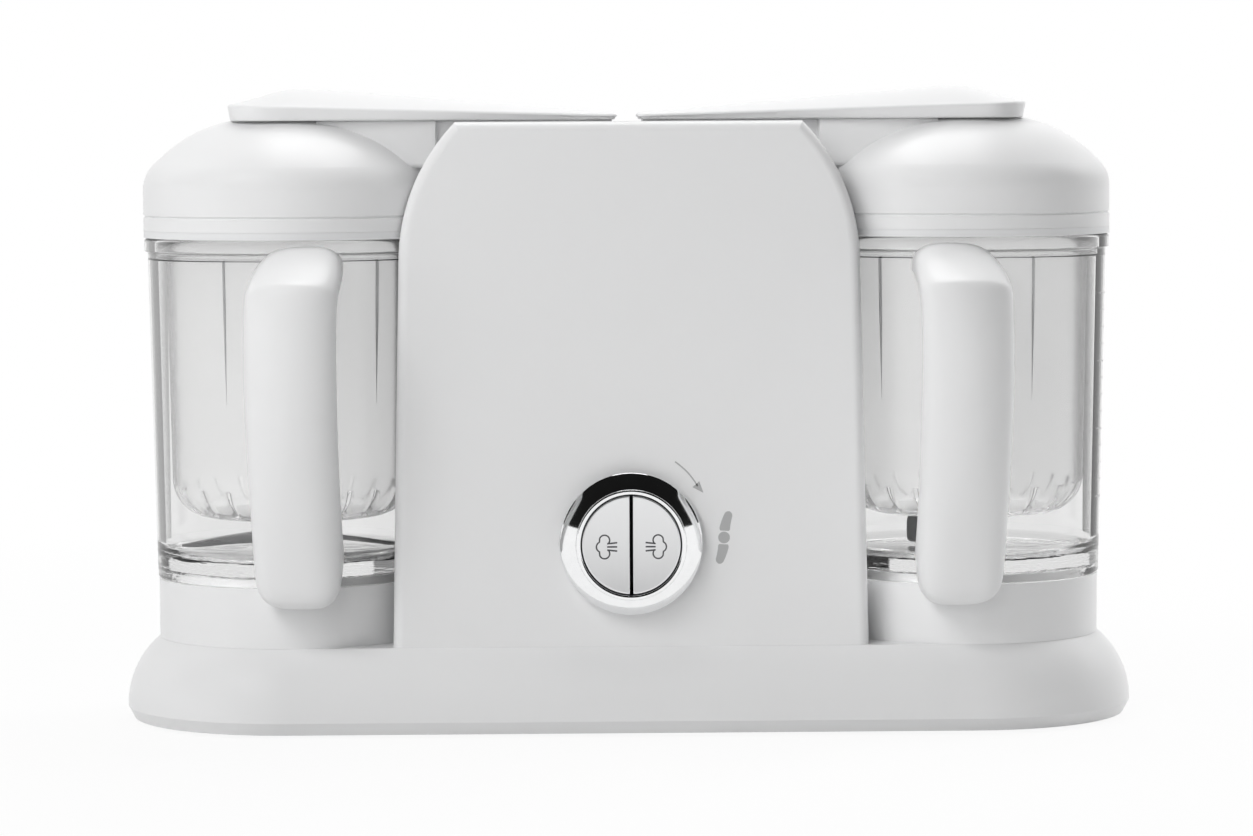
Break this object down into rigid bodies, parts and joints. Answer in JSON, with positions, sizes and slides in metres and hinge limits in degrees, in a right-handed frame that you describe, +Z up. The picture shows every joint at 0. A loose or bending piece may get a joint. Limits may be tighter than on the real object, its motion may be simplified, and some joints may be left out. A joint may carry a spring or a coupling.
{
  "type": "baby food maker",
  "caption": "Countertop baby food maker: clear steam-and-blend bowls with handles, baskets and hinged domed lids on lever arms, either side of a rounded tower with a ring knob and push buttons.",
  "frame": {"origin": "on the table under the middle of the whole object", "axes": "+X to the viewer's right along the row of bowls, +Y away from the viewer, +Z up"},
  "size_m": [0.395, 0.1583, 0.2469],
  "materials": {
    "white_gloss": "smooth gloss white plastic",
    "dark_base": "matt dark plastic",
    "rubber_black": "black rubber",
    "seal_silicone": "pale silicone",
    "steel": "plain steel",
    "blade_steel": "ground stainless steel",
    "bronze": "sintered bronze",
    "chrome_ring": "polished chrome",
    "button_silver": "satin silver paint",
    "board_green": "solder mask",
    "switch_black": "matt black plastic",
    "pulley_grey": "moulded grey plastic",
    "bowl_clear": "clear copolyester",
    "basket_grey": "translucent grey plastic",
    "hub_grey": "dark grey plastic"
  },
  "bodies": {
    "base": {"base_shell": "white_gloss", "base_plate": "dark_base", "rubber_feet": "rubber_black", "base_screws": "steel", "front_panel": "white_gloss", "rear_panel": "white_gloss", "tower_body": "white_gloss", "tower_deck": "white_gloss", "motor_bracket": "steel", "motor_housing": "steel", "control_board": "board_green", "control_carrier": "dark_base", "switches": "switch_black", "cord_gland": "dark_base", "thermostats": "switch_black", "left_pedestal": "white_gloss", "left_spindle_bush": "bronze", "left_drive_belt": "rubber_black", "left_button_pad": "seal_silicone", "left_water_tank": "steel", "left_heater": "steel", "right_pedestal": "white_gloss", "right_spindle_bush": "bronze", "right_drive_belt": "rubber_black", "right_button_pad": "seal_silicone", "right_water_tank": "steel", "right_heater": "steel"},
    "knob": {"mix_knob": "chrome_ring"},
    "rotor": {"motor_rotor": "steel", "drive_pulley": "pulley_grey"},
    "left_button": {"left_button": "button_silver"},
    "left_spindle": {"left_spindle": "steel", "left_driven_pulley": "pulley_grey"},
    "left_bowl": {"left_bowl": "bowl_clear", "left_handle": "white_gloss", "left_blade_seal": "seal_silicone"},
    "left_blade": {"left_blade_hub": "hub_grey", "left_blade_wings": "blade_steel"},
    "left_basket": {"left_basket": "basket_grey"},
    "left_lid": {"left_lid_dome": "white_gloss", "left_lid_arm": "white_gloss", "left_lid_bridge": "white_gloss", "left_lid_gasket": "seal_silicone", "left_tank_seal": "seal_silicone", "left_hinge_pin": "steel"},
    "right_button": {"right_button": "button_silver"},
    "right_spindle": {"right_spindle": "steel", "right_driven_pulley": "pulley_grey"},
    "right_bowl": {"right_bowl": "bowl_clear", "right_handle": "white_gloss", "right_blade_seal": "seal_silicone"},
    "right_blade": {"right_blade_hub": "hub_grey", "right_blade_wings": "blade_steel"},
    "right_basket": {"right_basket": "basket_grey"},
    "right_lid": {"right_lid_dome": "white_gloss", "right_lid_arm": "white_gloss", "right_lid_bridge": "white_gloss", "right_lid_gasket": "seal_silicone", "right_tank_seal": "seal_silicone", "right_hinge_pin": "steel"}
  },
  "joints": [
    {"name": "mix_knob_turn", "type": "hinge", "parent": "base", "child": "knob", "pos_m": [0, -0.03818, 0.073], "axis": [0, 1, 0], "range_deg": [0, 35], "stiffness_Nm_per_rad": 0.3},
    {"name": "motor_spin", "type": "hinge", "parent": "base", "child": "rotor", "pos_m": [0, 0.01382, 0.06], "axis": [0, 0, 1], "continuous": true},
    {"name": "left_button_press", "type": "slide", "parent": "base", "child": "left_button", "axis": [0, 1, 0], "range_m": [0, 0.002], "stiffness_N_per_m": 800, "deforming": ["left_button_pad"]},
    {"name": "left_spindle_spin", "type": "hinge", "parent": "base", "child": "left_spindle", "pos_m": [-0.132, 0.01382, 0.05], "axis": [0, 0, 1], "continuous": true},
    {"name": "left_bowl_lift", "type": "slide", "parent": "base", "child": "left_bowl", "axis": [0, 0, 1], "range_m": [0, 0.2]},
    {"name": "left_blade_spin", "type": "hinge", "parent": "left_bowl", "child": "left_blade", "pos_m": [-0.132, 0.01382, 0.07], "axis": [0, 0, 1], "continuous": true},
    {"name": "left_basket_lift", "type": "slide", "parent": "left_bowl", "child": "left_basket", "axis": [0, 0, 1], "range_m": [0, 0.12]},
    {"name": "left_lid_open", "type": "hinge", "parent": "left_basket", "child": "left_lid", "pos_m": [-0.01, 0.01382, 0.229], "axis": [0, 1, 0], "range_deg": [0, 80]},
    {"name": "right_button_press", "type": "slide", "parent": "base", "child": "right_button", "axis": [0, 1, 0], "range_m": [0, 0.002], "stiffness_N_per_m": 800, "deforming": ["right_button_pad"]},
    {"name": "right_spindle_spin", "type": "hinge", "parent": "base", "child": "right_spindle", "pos_m": [0.132, 0.01382, 0.05], "axis": [0, 0, 1], "continuous": true},
    {"name": "right_bowl_lift", "type": "slide", "parent": "base", "child": "right_bowl", "axis": [0, 0, 1], "range_m": [0, 0.2]},
    {"name": "right_blade_spin", "type": "hinge", "parent": "right_bowl", "child": "right_blade", "pos_m": [0.132, 0.01382, 0.07], "axis": [0, 0, 1], "continuous": true},
    {"name": "right_basket_lift", "type": "slide", "parent": "right_bowl", "child": "right_basket", "axis": [0, 0, 1], "range_m": [0, 0.12]},
    {"name": "right_lid_open", "type": "hinge", "parent": "right_basket", "child": "right_lid", "pos_m": [0.01, 0.01382, 0.229], "axis": [0, -1, 0], "range_deg": [0, 80]}
  ],
  "couplings": [
    {"joint": "left_spindle_spin", "follows": "motor_spin", "ratio": 0.5},
    {"joint": "left_blade_spin", "follows": "motor_spin", "ratio": 0.5},
    {"joint": "right_spindle_spin", "follows": "motor_spin", "ratio": 0.5},
    {"joint": "right_blade_spin", "follows": "motor_spin", "ratio": 0.5}
  ]
}
